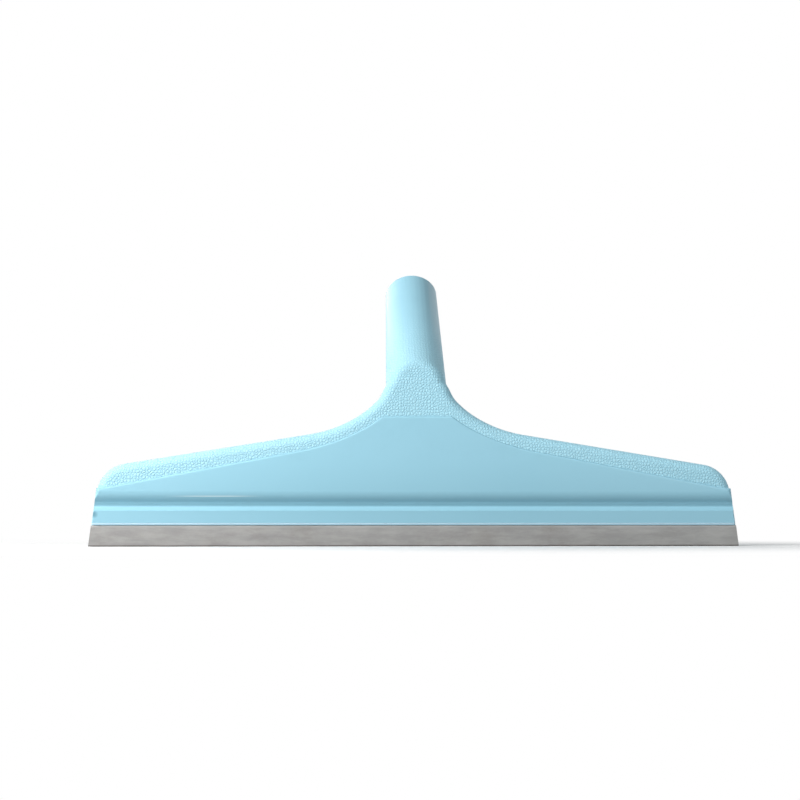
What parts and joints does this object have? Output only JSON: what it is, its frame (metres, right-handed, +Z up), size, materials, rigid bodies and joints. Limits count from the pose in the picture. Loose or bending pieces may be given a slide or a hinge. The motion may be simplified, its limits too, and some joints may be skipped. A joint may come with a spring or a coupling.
{
  "type": "squeegee head",
  "caption": "Moulded squeegee head with swept grained wings, a leaning pole socket and a foam blade on a carrier that slides endways into its jaw.",
  "frame": {"origin": "middle of the front foam strip's wiping edge, on the surface being wiped", "axes": "+X along the blade, +Y towards the back, where the socket leans, +Z up from the wiping edge"},
  "size_m": [0.4, 0.0943, 0.1793],
  "materials": {
    "head_plastic": "gloss panel, satin grained wings",
    "carrier_plastic": "plain moulded",
    "foam": "matte foam",
    "pin_metal": "plain drawn wire"
  },
  "bodies": {
    "head": {"head_moulding": "head_plastic"},
    "blade_cassette": {"blade_carrier": "carrier_plastic", "front_blade": "foam", "rear_blade": "foam", "blade_pins": "pin_metal"}
  },
  "joints": [
    {"name": "blade_slide", "type": "slide", "parent": "head", "child": "blade_cassette", "axis": [1, 0, 0], "range_m": [-0.41, 0.41]}
  ]
}
